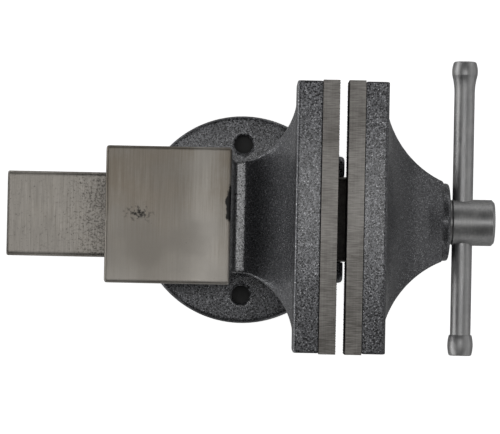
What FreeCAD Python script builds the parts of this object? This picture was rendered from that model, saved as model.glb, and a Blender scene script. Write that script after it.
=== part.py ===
import FreeCAD, Part
import math
import os

import Sketcher

# Bench vise with a fixed round base, 150 mm jaws and a 120 mm opening.
#
# +X runs along the lead screw towards the handle, +Y runs along the jaws and +Z is up.
# The origin is the centre of the base's underside, which sits on the bench.
# The jaws stand a few millimetres apart, and every part is where it sits in that pose.
# All lengths are in millimetres.

V = FreeCAD.Vector
Y_AXIS, Z_AXIS = V(0, 1, 0), V(0, 0, 1)
doc = FreeCAD.newDocument("bench_vise")


# ---------------------------------------------------------------- driving dimensions

SIZES = {
    # heights above the bench
    "jaw_top": 152.0,
    "plate_low": 126.0,
    "swoop_top": 131.0,
    "anvil_top": 118.0,
    "valley": 99.0,
    "beam_top": 86.0,
    "beam_low": 46.0,
    "screw_axis": 61.0,
    "housing_low": 35.0,
    "flange_top": 13.0,
    "hollow_top": 32.0,
    "recess_low": 39.8,
    "cheek_top": 79.0,
    # places along the screw
    "static_face": 53.0,
    "jaw_opening": 4.6,
    "plate_thick": 9.4,
    "static_back": 29.4,
    "moving_back": 80.0,
    "valley_rear": -3.9,
    "valley_front": 1.5,
    "nose_front": 58.9,
    "nose_rear": 41.0,
    "anvil_rear": -76.7,
    "anvil_front": -6.0,
    "housing_rear": -70.0,
    "beam_rear": -135.0,
    "boss_face": 120.6,
    "channel_end": 60.0,
    "nut_rear": -20.0,
    "nut_front": 16.0,
    "pin_x": 48.0,
    "handle_x": 128.9,
    # widths across the jaws
    "jaw_width": 149.4,
    "plate_width": 150.4,
    "anvil_width": 77.2,
    "housing_width": 64.0,
    "nose_width": 73.4,
    "beam_width": 48.8,
    "channel_width": 30.0,
    "hollow_width": 42.0,
    "hollow_length": 46.0,
    "flange_radius": 62.7,
    "bolt_circle": 91.0,
    "bolt_hole": 11.0,
    "boss_radius": 22.7,
    "throat_half": 34.0,
    "pedestal_length": 62.0,
    "pedestal_width": 58.0,
    # curves of the castings
    "static_swoop": 50.0,
    "static_flare": 40.0,
    "static_flare_half": 62.5,
    "static_neck_half": 32.2,
    "moving_swoop": 62.0,
    "moving_flare": 63.5,
    "moving_flare_half": 60.5,
    "under_curve": 52.0,
    # screw and handle
    "screw_dia": 18.0,
    "root_dia": 13.4,
    "thread_lead": 5.0,
    "screw_rear": -130.0,
    "thread_front": 40.0,
    "head_dia": 27.0,
    "head_rear": 122.0,
    "head_front": 147.2,
    "handle_dia": 12.0,
    "knob_dia": 15.0,
    "handle_high": 94.0,
    "handle_low": -77.8,
    "spigot_dia": 10.0,
    "knob_length": 12.0,
    # screws
    "plate_screw": 8.0,
    "plate_screw_y": 45.0,
    "nut_bolt": 8.0,
    "nut_bolt_x": 9.0,
    # gaps
    "slide_gap": 0.2,
    "turn_gap": 0.08,
    "thread_gap": 0.3,
    "seat_gap": 0.05,
}

sheet = doc.addObject("Spreadsheet::Sheet", "sizes")
for row, (alias, size) in enumerate(SIZES.items(), start=1):
    sheet.set(f"A{row}", alias)
    sheet.set(f"B{row}", str(size))
    sheet.setAlias(f"B{row}", alias)
doc.recompute()


class Size:
    """A length that knows its value and the sheet expression it comes from."""

    def __init__(self, value, text):
        self.value = float(value)
        self.text = text

    @staticmethod
    def of(thing):
        return thing if isinstance(thing, Size) else Size(thing, f"({thing})")

    def join(self, other, sign, value):
        return Size(value, f"({self.text} {sign} {other.text})")

    def __add__(self, other):
        other = Size.of(other)
        return self.join(other, "+", self.value + other.value)

    def __sub__(self, other):
        other = Size.of(other)
        return self.join(other, "-", self.value - other.value)

    def __mul__(self, other):
        other = Size.of(other)
        return self.join(other, "*", self.value * other.value)

    def __truediv__(self, other):
        other = Size.of(other)
        return self.join(other, "/", self.value / other.value)

    def __rsub__(self, other):
        return Size.of(other) - self

    def __neg__(self):
        return self * -1

    __radd__ = __add__
    __rmul__ = __mul__


class Sheet:
    """Every alias of the sheet as an attribute."""

    def __getattr__(self, alias):
        return Size(SIZES[alias], f"sizes.{alias}")


d = Sheet()

# Lengths that several parts share.
static_seat = d.static_face - d.plate_thick
moving_face = d.static_face + d.jaw_opening
moving_seat = moving_face + d.plate_thick
jaw_half = d.jaw_width / 2
plate_middle = (d.jaw_top + d.plate_low) / 2
shaft_bore = d.screw_dia / 2 + d.turn_gap
nut_middle = (d.nut_rear + d.nut_front) / 2

# Small fixed lengths.
PAST = 9.0  # how far a cut runs past the metal it clears
LEDGE_OUT = 4.0
TAP_DEPTH = 11.0
COUNTERBORE = 5.6
HEAD_RADIUS = 6.5
HEAD_HEIGHT = 5.0
BLEND = 9.0
ROUND = 6.0
PIN_RADIUS = 1.5
WASHER_THICK = 2.0
WASHER_BORE = 9.25
THRUST_RADIUS = 13.2
RETAINING_RADIUS = 13.5
BOLT_HEAD_ACROSS = 13.0
BOLT_HEAD_HEIGHT = 5.3
BOLT_SHANK_LENGTH = 18.0
BOLT_WASHER_THICK = 1.6


# ---------------------------------------------------------------- sketches


def new_body(label, **place):
    """An empty body. place gives its x, y or z where it isn't drawn in place."""
    body = doc.addObject("PartDesign::Body", label)
    body.Label = label
    for axis, size in place.items():
        body.setExpression(f"Placement.Base.{axis}", Size.of(size).text)
    return body


def new_sketch(body, name, plane, offset=None):
    """A sketch on one of the body's own planes: XY_Plane, XZ_Plane or YZ_Plane."""
    sketch = body.newObject("Sketcher::SketchObject", name)
    origin_plane = [f for f in body.Origin.OriginFeatures if f.Role == plane][0]
    sketch.AttachmentSupport = [(origin_plane, "")]
    sketch.MapMode = "FlatFace"
    if offset is not None:
        sketch.setExpression("AttachmentOffset.Base.z", Size.of(offset).text)
    return sketch


def constrain(sketch, size, *what):
    """A driving constraint bound to the sheet."""
    index = sketch.addConstraint(Sketcher.Constraint(*what, size.value))
    sketch.setExpression(f"Constraints[{index}]", size.text)


def arc_between(start, end, radius):
    """An arc. A positive radius turns left on the way to end, and a negative one turns right."""
    chord = end - start
    side = V(-chord.y, chord.x, 0).normalize() * math.copysign(1, radius)
    centre = (start + end) / 2 + side * math.sqrt(radius**2 - chord.Length**2 / 4)
    angles = [math.atan2(p.y - centre.y, p.x - centre.x) for p in (start, end)]
    if radius < 0:
        angles.reverse()
    return Part.ArcOfCircle(Part.Circle(centre, Z_AXIS, abs(radius)), *angles)


def outline(sketch, corners):
    """A closed outline. A corner is (x, y), or (x, y, radius) where an arc leads up to it."""
    corners = [[Size.of(part) for part in corner] for corner in corners]
    spots = [V(corner[0].value, corner[1].value, 0) for corner in corners]
    pieces = []
    for i, corner in enumerate(corners):
        if len(corner) == 2:
            shape, begin, end = Part.LineSegment(spots[i - 1], spots[i]), 1, 2
        else:
            shape = arc_between(spots[i - 1], spots[i], corner[2].value)
            begin, end = (1, 2) if corner[2].value > 0 else (2, 1)
        pieces.append((sketch.addGeometry(shape), begin, end))
    for i, (piece, _, end) in enumerate(pieces):
        following, begin, _ = pieces[(i + 1) % len(pieces)]
        sketch.addConstraint(Sketcher.Constraint("Coincident", piece, end, following, begin))
        constrain(sketch, corners[i][0], "DistanceX", piece, end)
        constrain(sketch, corners[i][1], "DistanceY", piece, end)
        if len(corners[i]) == 3:
            radius = corners[i][2]
            constrain(sketch, radius if radius.value > 0 else -radius, "Radius", piece)


def mirror_across(corners):
    """The outline with its horizontal coordinate negated."""
    return [(-Size.of(c[0]), c[1], *(-Size.of(r) for r in c[2:])) for c in corners]


def mirror_upright(corners):
    """The outline with its vertical coordinate negated."""
    return [(c[0], -Size.of(c[1]), *(-Size.of(r) for r in c[2:])) for c in corners]


def box(sketch, x0, y0, x1, y1, low_round=0, high_round=0):
    """A rectangle, with rounded lower or upper corners where a radius is given."""
    corners = []
    for x, y, round_x, round_y, radius in (
        (x1, y0, -1, 1, low_round),
        (x1, y1, -1, -1, high_round),
        (x0, y1, 1, -1, high_round),
        (x0, y0, 1, 1, low_round),
    ):
        x, y = Size.of(x), Size.of(y)
        beside, beyond = (x + round_x * radius, y), (x, y + round_y * radius)
        if not radius:
            corners.append((x, y))
        elif round_x * round_y < 0:
            corners += [beside, (*beyond, radius)]
        else:
            corners += [beyond, (*beside, radius)]
    outline(sketch, corners)


def ring(sketch, x, y, radius):
    """A circle."""
    x, y, radius = Size.of(x), Size.of(y), Size.of(radius)
    circle = Part.Circle(V(x.value, y.value, 0), Z_AXIS, radius.value)
    piece = sketch.addGeometry(circle)
    constrain(sketch, x, "DistanceX", piece, 3)
    constrain(sketch, y, "DistanceY", piece, 3)
    constrain(sketch, radius, "Radius", piece)


# ---------------------------------------------------------------- features


def finish(feature):
    """Computes a feature and stops if it didn't work."""
    doc.recompute()
    if "Invalid" in feature.State or feature.Shape.isNull() or not feature.Shape.isValid():
        raise ValueError(f"{feature.Label} failed")
    return feature


def swept(body, kind, name, sketch, length, symmetric, reverse=False):
    feature = body.newObject(f"PartDesign::{kind}", name)
    feature.Profile = sketch
    feature.SideType = "Symmetric" if symmetric else "One side"
    feature.Reversed = reverse
    feature.setExpression("Length", Size.of(length).text)
    return finish(feature)


def pad(body, name, sketch, length, symmetric=False):
    return swept(body, "Pad", name, sketch, length, symmetric)


def cut(body, name, sketch, length, symmetric=False, reverse=False):
    """A pocket. The volume is compared, since one that faces the wrong way removes nothing."""
    before = body.Tip.Shape.Volume
    feature = swept(body, "Pocket", name, sketch, length, symmetric, reverse)
    if feature.Shape.Volume > before - 0.01:
        raise ValueError(f"{name} removes nothing")
    return feature


def turned(body, name, corners, kind="Revolution", plane="XY_Plane", axis="H_Axis"):
    """Material turned about an axis of its own sketch, or a groove turned out of it."""
    sketch = new_sketch(body, f"{name}_profile", plane)
    outline(sketch, corners)
    feature = body.newObject(f"PartDesign::{kind}", name)
    feature.Profile = sketch
    feature.ReferenceAxis = (sketch, [axis])
    feature.Angle = 360
    return finish(feature)


def coil(body, kind, name, sketch, pitch, height):
    """A right-hand helix about the sketch's horizontal axis."""
    feature = body.newObject(f"PartDesign::{kind}", name)
    feature.Profile = sketch
    feature.ReferenceAxis = (sketch, ["H_Axis"])
    feature.Mode = "pitch-height-angle"
    feature.LeftHanded = False
    feature.setExpression("Pitch", Size.of(pitch).text)
    feature.setExpression("Height", Size.of(height).text)
    return finish(feature)


def soften(body, name, size, wanted, kind="Fillet"):
    """A fillet or chamfer on the edges of the body that wanted(edge, middle) picks."""
    base = body.Tip
    names = []
    for i, edge in enumerate(base.Shape.Edges, start=1):
        middle = edge.valueAt((edge.FirstParameter + edge.LastParameter) / 2)
        if wanted(edge, middle):
            names.append(f"Edge{i}")
    if not names:
        raise ValueError(f"{name} finds no edge")
    feature = body.newObject(f"PartDesign::{kind}", name)
    feature.Base = (base, names)
    feature.setExpression("Size" if kind == "Chamfer" else "Radius", Size.of(size).text)
    return finish(feature)


def close_to(value, target, slack=0.05):
    return abs(value - Size.of(target).value) < slack


def runs_along(edge, axis):
    """True for a straight edge along axis."""
    if edge.Curve.TypeId != "Part::GeomLine":
        return False
    return abs(abs(edge.Curve.Direction.dot(axis)) - 1) < 1e-4


# ---------------------------------------------------------------- jaws


def jaw_front(seat, out):
    """Corners of the side outline where the plate sits, from the foot up. out is the side it faces."""
    ledge = seat + LEDGE_OUT * out
    return [
        (seat, d.cheek_top - 15),
        (seat, d.plate_low - 9),
        (ledge, d.plate_low - 5),
        (ledge, d.plate_low),
        (seat, d.plate_low),
        (seat, d.jaw_top),
    ]


def clear_under_ends(body, start):
    """Sweeps the casting in from the jaw's ends to its neck, seen from the front."""
    sketch = new_sketch(body, "under_ends_outline", "YZ_Plane", start)
    side = [
        (d.throat_half, d.valley - 22),
        (jaw_half, d.plate_low - 10, -d.under_curve),
        (jaw_half + PAST, d.plate_low - 10),
        (jaw_half + PAST, d.flange_top),
        (d.throat_half, d.flange_top),
    ]
    outline(sketch, side)
    outline(sketch, mirror_across(side))
    cut(body, "under_ends", sketch, d.jaw_width / 2, reverse=True)


def clear_beside_neck(body, side):
    """Sweeps the casting in from the jaw's back to its neck, seen from above."""
    sketch = new_sketch(body, "neck_outline", "XY_Plane")
    outline(sketch, side)
    outline(sketch, mirror_upright(side))
    cut(body, "neck", sketch, d.jaw_top + PAST, reverse=True)


def tap_plate_holes(body, seat, out):
    """The two blind holes that hold a jaw plate's screws."""
    sketch = new_sketch(body, "plate_tap_outline", "YZ_Plane", seat)
    for side in (-1, 1):
        ring(sketch, side * d.plate_screw_y, plate_middle, d.plate_screw / 2 + d.seat_gap)
    cut(body, "plate_taps", sketch, TAP_DEPTH, reverse=out < 0)


def body_casting():
    """The fixed casting: base flange, pedestal, slide housing, anvil and static jaw in one."""
    body = new_body("body_casting")

    side = new_sketch(body, "jaw_outline", "XZ_Plane")
    back = [
        (d.static_back, d.jaw_top),
        (d.static_back, d.swoop_top),
        (d.valley_front, d.valley, -d.static_swoop),
        (d.valley_front, d.cheek_top - 15),
    ]
    outline(side, jaw_front(static_seat, 1) + back)
    pad(body, "jaw", side, d.jaw_width, symmetric=True)
    soften(body, "jaw_back_edge", 1.5, lambda e, m: close_to(m.x, d.static_back) and close_to(m.z, d.jaw_top))
    clear_beside_neck(
        body,
        [
            (d.static_back, d.static_flare_half),
            (d.valley_front + 1.5, d.static_neck_half, -d.static_flare),
            (d.valley_front - PAST, d.static_neck_half),
            (d.valley_front - PAST, jaw_half + PAST),
            (d.static_back, jaw_half + PAST),
        ],
    )
    clear_under_ends(body, d.valley_front - PAST)

    anvil = new_sketch(body, "anvil_outline", "YZ_Plane", d.anvil_rear)
    half = d.anvil_width / 2
    right = [(0, d.anvil_top), (half, d.anvil_top), (half, d.valley + 3), (half - BLEND, d.valley - BLEND)]
    left = [(-Size.of(x), z) for x, z in right[:0:-1]]
    outline(anvil, left + right[1:])
    pad(body, "anvil", anvil, d.anvil_front - d.anvil_rear)

    housing = new_sketch(body, "housing_outline", "YZ_Plane", d.housing_rear)
    half = d.housing_width / 2
    box(housing, -half, d.housing_low, half, d.valley, low_round=ROUND)
    pad(body, "housing", housing, d.nose_rear - d.housing_rear + 1)

    foot = new_sketch(body, "anvil_foot_outline", "XZ_Plane")
    outline(
        foot,
        [
            (d.anvil_front - 1, d.valley - 1),
            (d.valley_rear, d.valley - 1),
            (d.valley_rear, d.valley),
            (d.anvil_front, d.anvil_top - 5),
            (d.anvil_front - 1, d.anvil_top - 5),
        ],
    )
    pad(body, "anvil_foot", foot, d.housing_width, symmetric=True)

    nose = new_sketch(body, "nose_outline", "YZ_Plane", d.nose_rear)
    half = d.nose_width / 2
    box(nose, -half, d.housing_low - 3, half, d.cheek_top, low_round=BLEND, high_round=4)
    pad(body, "nose", nose, d.nose_front - d.nose_rear)

    flange = new_sketch(body, "flange_outline", "XY_Plane")
    ring(flange, 0, 0, d.flange_radius)
    pad(body, "flange", flange, d.flange_top)

    pedestal = new_sketch(body, "pedestal_outline", "XY_Plane", d.flange_top - 1)
    length, width = d.pedestal_length / 2, d.pedestal_width / 2
    box(pedestal, -length, -width, length, width, low_round=BLEND, high_round=BLEND)
    pad(body, "pedestal", pedestal, d.housing_low - d.flange_top + 2)

    slot = new_sketch(body, "slide_way_outline", "YZ_Plane", d.housing_rear - PAST)
    half = d.beam_width / 2 + d.slide_gap
    box(slot, -half, d.beam_low - d.slide_gap, half, d.beam_top + d.slide_gap)
    cut(body, "slide_way", slot, d.nose_front - d.housing_rear + 2 * PAST, reverse=True)

    hollow = new_sketch(body, "hollow_outline", "XY_Plane")
    length, width = d.hollow_length / 2, d.hollow_width / 2
    box(hollow, -length, -width, length, width, low_round=ROUND, high_round=ROUND)
    cut(body, "hollow", hollow, d.hollow_top, reverse=True)

    recess = new_sketch(body, "nut_recess_outline", "XY_Plane", d.recess_low)
    half = d.channel_width / 2
    box(recess, d.nut_rear - d.seat_gap, -half, d.nut_front + d.seat_gap, half)
    cut(body, "nut_recess", recess, d.beam_low - d.recess_low, reverse=True)

    holes = new_sketch(body, "hole_outline", "XY_Plane")
    reach = d.bolt_circle / 2
    for x, y in ((reach, 0), (-reach, 0), (0, reach), (0, -reach)):
        ring(holes, x, y, d.bolt_hole / 2)
    cut(body, "bench_holes", holes, d.flange_top + 1, reverse=True)

    bolts = new_sketch(body, "nut_bolt_outline", "XY_Plane", d.hollow_top - 1)
    for side in (-1, 1):
        ring(bolts, nut_middle + side * d.nut_bolt_x, 0, d.nut_bolt / 2 + 0.5)
    cut(body, "nut_bolt_holes", bolts, d.recess_low - d.hollow_top + 2, reverse=True)
    tap_plate_holes(body, static_seat, 1)

    def on_flange_rim(edge, middle):
        return close_to(middle.z, d.flange_top) and close_to(math.hypot(middle.x, middle.y), d.flange_radius)

    def at_pedestal_foot(edge, middle):
        reach_x, reach_y = d.pedestal_length.value / 2 + 0.5, d.pedestal_width.value / 2 + 0.5
        inside = abs(middle.x) < reach_x and abs(middle.y) < reach_y
        return close_to(middle.z, d.flange_top) and inside

    def at_anvil_corner(edge, middle):
        at_end = close_to(middle.x, d.anvil_rear) or close_to(middle.x, d.anvil_front)
        return at_end and runs_along(edge, Z_AXIS) and close_to(abs(middle.y), d.anvil_width / 2)

    def on_nose_rim(edge, middle):
        beside_slot = abs(middle.y) < d.beam_width.value / 2 + 2 and middle.z > d.beam_low.value - 2
        return close_to(middle.x, d.nose_front) and not beside_slot

    soften(body, "anvil_corners", 1.5, at_anvil_corner)
    soften(body, "nose_rim", 2.5, on_nose_rim)
    soften(body, "flange_rim", 2, on_flange_rim)
    soften(body, "pedestal_foot", 4, at_pedestal_foot)
    soften(body, "anvil_rim", 0.8, lambda e, m: close_to(m.z, d.anvil_top), "Chamfer")
    return body


def moving_jaw_casting():
    """The sliding casting: moving jaw, screw boss and the channel-shaped beam in one."""
    body = new_body("moving_jaw_casting")
    boss_top = d.screw_axis + d.boss_radius
    neck_end = d.boss_face - 4.6

    side = new_sketch(body, "jaw_outline", "XZ_Plane")
    back = [
        (d.moving_back, d.jaw_top),
        (d.moving_back, d.plate_low + 10),
        (neck_end, boss_top - 3, d.moving_swoop),
        (neck_end, d.cheek_top - 15),
    ]
    outline(side, jaw_front(moving_seat, -1) + back)
    pad(body, "jaw", side, d.jaw_width, symmetric=True)
    soften(body, "jaw_back_edge", 1.5, lambda e, m: close_to(m.x, d.moving_back) and close_to(m.z, d.jaw_top))
    clear_beside_neck(
        body,
        [
            (d.moving_back, d.moving_flare_half),
            (neck_end + 0.9, d.boss_radius, d.moving_flare),
            (neck_end + PAST, d.boss_radius),
            (neck_end + PAST, jaw_half + PAST),
            (d.moving_back, jaw_half + PAST),
        ],
    )
    clear_under_ends(body, moving_seat - PAST)

    root = new_sketch(body, "trunk_root_outline", "YZ_Plane", moving_seat)
    half, low, high = d.throat_half, d.housing_low + 2, d.valley - 3
    box(root, -half, low, half, high, low_round=BLEND + 1, high_round=BLEND + 1)
    tip = new_sketch(body, "trunk_tip_outline", "YZ_Plane", neck_end)
    reach = d.boss_radius
    box(tip, -reach, d.screw_axis - reach, reach, boss_top, low_round=reach - 0.5, high_round=reach - 0.5)
    trunk = body.newObject("PartDesign::AdditiveLoft", "trunk")
    trunk.Profile = root
    trunk.Sections = [tip]
    trunk.Ruled = True
    finish(trunk)

    boss = new_sketch(body, "boss_outline", "YZ_Plane", neck_end - PAST)
    ring(boss, 0, d.screw_axis, d.boss_radius)
    pad(body, "boss", boss, d.boss_face - neck_end + PAST)

    beam = new_sketch(body, "beam_outline", "YZ_Plane", d.beam_rear)
    half = d.beam_width / 2
    box(beam, -half, d.beam_low, half, d.beam_top, high_round=2)
    pad(body, "beam", beam, moving_seat - d.beam_rear + 1)

    channel = new_sketch(body, "channel_outline", "YZ_Plane", d.beam_rear - PAST)
    half = d.channel_width / 2
    box(channel, -half, d.beam_low - PAST, half, d.beam_top - 10, high_round=4)
    cut(body, "channel", channel, d.channel_end - d.beam_rear + PAST, reverse=True)

    bore = new_sketch(body, "bore_outline", "YZ_Plane", d.channel_end - 1)
    ring(bore, 0, d.screw_axis, shaft_bore)
    cut(body, "bore", bore, d.boss_face - d.channel_end + 2, reverse=True)
    tap_plate_holes(body, moving_seat, -1)

    def on_boss_rim(edge, middle):
        radius = math.hypot(middle.y, middle.z - d.screw_axis.value)
        return close_to(middle.x, d.boss_face) and close_to(radius, d.boss_radius)

    soften(body, "boss_rim", 1.6, on_boss_rim)
    return body


# ---------------------------------------------------------------- jaw plates and their screws


def jaw_plate(label, face, out):
    """A hardened plate with two counterbored holes. out is the side its working face looks to."""
    body = new_body(label)
    seat = face - d.plate_thick * out
    low = seat if out > 0 else face
    blank = new_sketch(body, "blank_outline", "YZ_Plane", low)
    box(blank, -d.plate_width / 2, d.plate_low, d.plate_width / 2, d.jaw_top)
    pad(body, "blank", blank, d.plate_thick)
    steps = (("clearance", seat - out, d.plate_screw / 2 + 0.3, d.plate_thick + 2, out > 0),
             ("counterbore", face + out, HEAD_RADIUS + 0.4, 1 + COUNTERBORE, out < 0))
    for name, start, radius, depth, forward in steps:
        sketch = new_sketch(body, f"{name}_outline", "YZ_Plane", start)
        for side in (-1, 1):
            ring(sketch, side * d.plate_screw_y, plate_middle, radius)
        cut(body, name, sketch, depth, reverse=forward)
    soften(body, "plate_edges", 0.4, lambda e, m: close_to(m.x, face) and runs_along(e, Y_AXIS), "Chamfer")
    return body


def plate_screw(label, face, out, y):
    """A low-head socket screw, drawn along its own X axis with its head towards the jaws' gap."""
    body = new_body(label, x=face - COUNTERBORE * out, y=y, z=plate_middle)
    shank = d.plate_screw / 2
    end = (d.plate_thick - COUNTERBORE + TAP_DEPTH - 0.6) * -out
    turned(
        body,
        "screw",
        [
            (end, 0),
            (end, shank - 0.8),
            (end + 0.8 * out, shank),
            (0, shank),
            (0, HEAD_RADIUS),
            ((HEAD_HEIGHT - 0.4) * out, HEAD_RADIUS),
            (HEAD_HEIGHT * out, HEAD_RADIUS - 0.4),
            (HEAD_HEIGHT * out, 0),
        ],
    )
    socket = new_sketch(body, "socket_outline", "YZ_Plane", (HEAD_HEIGHT + 0.5) * out)
    outline(socket, hexagon(5.0))
    cut(body, "socket", socket, 3.0, reverse=out < 0)
    return body


def hexagon(across):
    """Corners of a hexagon, given the distance across its flats."""
    reach = across / math.sqrt(3)
    turns = [math.radians(60 * i) for i in range(6)]
    return [(round(reach * math.cos(a), 4), round(reach * math.sin(a), 4)) for a in turns]


# ---------------------------------------------------------------- screw, nut and retaining pieces


def tooth(body, name, middle, foot, tip, foot_half, tip_half):
    """Trapezoid cross-section of a thread groove, open towards tip."""
    sketch = new_sketch(body, name, "XY_Plane")
    outline(
        sketch,
        [
            (middle - foot_half, foot),
            (middle + foot_half, foot),
            (middle + tip_half, tip),
            (middle - tip_half, tip),
        ],
    )
    return sketch


def lead_screw():
    """The lead screw with its head, drawn about its own X axis."""
    body = new_body("lead_screw", z=d.screw_axis)
    shank, root, head = d.screw_dia / 2, d.root_dia / 2, d.head_dia / 2
    turned(
        body,
        "blank",
        [
            (d.screw_rear, 0),
            (d.screw_rear, root - 0.5),
            (d.screw_rear + 2.5, shank),
            (d.head_rear, shank),
            (d.head_rear, head - 1),
            (d.head_rear + 1, head),
            (d.head_front - 1.5, head),
            (d.head_front, head - 1.5),
            (d.head_front, 0),
        ],
    )
    start = d.screw_rear - d.thread_lead
    groove = tooth(body, "groove_outline", start, root, shank + 0.4, 0.9, 1.6)
    coil(body, "SubtractiveHelix", "thread", groove, d.thread_lead, d.thread_front - start)

    cross = new_sketch(body, "handle_hole_outline", "XZ_Plane")
    ring(cross, d.handle_x, 0, d.handle_dia / 2 + d.turn_gap)
    cut(body, "handle_hole", cross, d.head_dia + 2, symmetric=True)
    pin = new_sketch(body, "pin_hole_outline", "XZ_Plane")
    ring(pin, d.pin_x, 0, 1.6)
    cut(body, "pin_hole", pin, d.screw_dia + 2, symmetric=True)
    return body


def lead_nut():
    """The nut block that stands in its recess, drawn about the screw's axis."""
    body = new_body("lead_nut", z=d.screw_axis)
    low = d.recess_low - d.screw_axis
    high = d.beam_top - 12 - d.screw_axis
    half = d.channel_width / 2 - d.thread_gap
    block = new_sketch(body, "block_outline", "YZ_Plane", d.nut_rear)
    box(block, -half, low, half, high, high_round=4)
    pad(body, "block", block, d.nut_front - d.nut_rear)

    bore = new_sketch(body, "bore_outline", "YZ_Plane", d.nut_rear - 1)
    ring(bore, 0, 0, d.root_dia / 2 + d.thread_gap)
    cut(body, "bore", bore, d.nut_front - d.nut_rear + 2, reverse=True)

    # The nut's groove follows the ridge of the screw, half a lead from the screw's groove.
    start = d.screw_rear - d.thread_lead / 2 + 21 * d.thread_lead
    ridge_tip = d.screw_dia / 2 + d.thread_gap
    groove = tooth(body, "groove_outline", start, d.root_dia / 2, ridge_tip, 1.85, 1.1)
    coil(body, "SubtractiveHelix", "thread", groove, d.thread_lead, d.nut_front - start + 4)

    taps = new_sketch(body, "tap_outline", "XY_Plane", low - 1)
    for side in (-1, 1):
        ring(taps, nut_middle + side * d.nut_bolt_x, 0, d.nut_bolt / 2 + d.seat_gap)
    cut(body, "taps", taps, 10.5, reverse=True)
    return body


def washer(label, start, thick, outer):
    """A plain washer on the lead screw, from start along the X axis."""
    body = new_body(label, x=start, z=d.screw_axis)
    turned(body, "washer", [(0, WASHER_BORE), (thick, WASHER_BORE), (thick, outer), (0, outer)])
    return body


def retaining_spring():
    """The spring that keeps the moving jaw against the screw's head."""
    body = new_body("retaining_spring", z=d.screw_axis)
    wire_radius = 1.0
    first = d.pin_x + PIN_RADIUS + WASHER_THICK + wire_radius + 0.2
    last = d.channel_end - wire_radius - 0.1
    wire = new_sketch(body, "wire_outline", "XY_Plane")
    ring(wire, first, 11, wire_radius)
    coil(body, "AdditiveHelix", "spring", wire, 2.7, last - first)
    return body


def split_pin():
    """The pin through the screw's shank that holds the retaining washer, with its eye and legs."""
    body = new_body("split_pin", x=d.pin_x, z=d.screw_axis)
    corners = [(0, -11.6), (PIN_RADIUS, -11.6), (PIN_RADIUS, 10.6), (0, 10.6)]
    turned(body, "shank", [(Size.of(x), y) for x, y in corners], axis="V_Axis")

    eye = new_sketch(body, "eye_outline", "YZ_Plane")
    ring(eye, 11.9, 0, 1.9)
    ring(eye, 11.9, 0, 0.8)
    pad(body, "eye", eye, 2 * PIN_RADIUS - 0.6, symmetric=True)

    legs = new_sketch(body, "leg_outline", "YZ_Plane")
    box(legs, -12.0, -4.4, -10.6, 4.4)
    pad(body, "legs", legs, 2 * PIN_RADIUS - 0.6, symmetric=True)
    return body


def nut_bolt(label, x):
    """A hexagon bolt from the base's hollow up into the nut."""
    body = new_body(label, x=x, z=d.hollow_top - BOLT_WASHER_THICK)
    head = new_sketch(body, "head_outline", "XY_Plane", -BOLT_HEAD_HEIGHT)
    outline(head, hexagon(BOLT_HEAD_ACROSS))
    pad(body, "head", head, BOLT_HEAD_HEIGHT)
    shank = new_sketch(body, "shank_outline", "XY_Plane", -1)
    ring(shank, 0, 0, d.nut_bolt / 2)
    pad(body, "shank", shank, BOLT_SHANK_LENGTH + 1)
    soften(body, "tip", 0.8, lambda e, m: close_to(m.z, BOLT_SHANK_LENGTH), "Chamfer")
    return body


def nut_washer(label, x):
    """A plain washer under a nut bolt's head."""
    body = new_body(label, x=x, z=d.hollow_top - BOLT_WASHER_THICK)
    inner, outer = d.nut_bolt / 2 + 0.3, d.nut_bolt
    corners = [(inner, 0), (outer, 0), (outer, BOLT_WASHER_THICK), (inner, BOLT_WASHER_THICK)]
    turned(body, "washer", corners, plane="XZ_Plane", axis="V_Axis")
    return body


# ---------------------------------------------------------------- handle


def handle_bar():
    """The sliding bar, drawn about the Y axis. Its upper end is upset, and its lower end is a spigot."""
    body = new_body("handle_bar", x=d.handle_x, z=d.screw_axis)
    bar, knob, spigot = d.handle_dia / 2, d.knob_dia / 2, d.spigot_dia / 2
    cap_bottom, cap_mouth = d.handle_low + 3, d.handle_low + d.knob_length
    turned(
        body,
        "bar",
        [
            (0, cap_bottom),
            (spigot, cap_bottom),
            (spigot, cap_mouth),
            (bar, cap_mouth),
            (bar, d.handle_high - 18),
            (knob - 0.1, d.handle_high - 8, -36),
            (knob - 0.8, d.handle_high - 0.6, 16),
            (knob - 1.4, d.handle_high),
            (0, d.handle_high),
        ],
        axis="V_Axis",
    )
    return body


def handle_cap():
    """The cap pressed on the spigot at the bar's lower end."""
    body = new_body("handle_cap", x=d.handle_x, z=d.screw_axis)
    knob, low = d.knob_dia / 2, d.handle_low
    bore, mouth = d.spigot_dia / 2 + d.seat_gap, low + d.knob_length
    turned(
        body,
        "cap",
        [
            (0, low),
            (knob - 1.4, low),
            (knob - 0.8, low + 0.6),
            (knob - 0.9, mouth, 21),
            (bore, mouth),
            (bore, low + 3),
            (0, low + 3),
        ],
        axis="V_Axis",
    )
    return body


# ---------------------------------------------------------------- write the parts

parts = [body_casting(), moving_jaw_casting()]
for jaw, face, out in (("static", d.static_face, 1), ("moving", moving_face, -1)):
    parts.append(jaw_plate(f"{jaw}_jaw_plate", face, out))
    for side, y in (("left", d.plate_screw_y), ("right", -d.plate_screw_y)):
        parts.append(plate_screw(f"{jaw}_plate_screw_{side}", face, out, y))
parts += [lead_screw(), lead_nut(), retaining_spring(), split_pin()]
thrust_start = d.boss_face + d.seat_gap
parts.append(washer("thrust_washer", thrust_start, d.head_rear - thrust_start, THRUST_RADIUS))
retaining_start = d.pin_x + PIN_RADIUS + d.seat_gap
parts.append(washer("retaining_washer", retaining_start, WASHER_THICK, RETAINING_RADIUS))
for place, side in (("rear", -1), ("front", 1)):
    x = nut_middle + side * d.nut_bolt_x
    parts.append(nut_bolt(f"nut_bolt_{place}", x))
    parts.append(nut_washer(f"nut_washer_{place}", x))
parts += [handle_bar(), handle_cap()]

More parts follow.
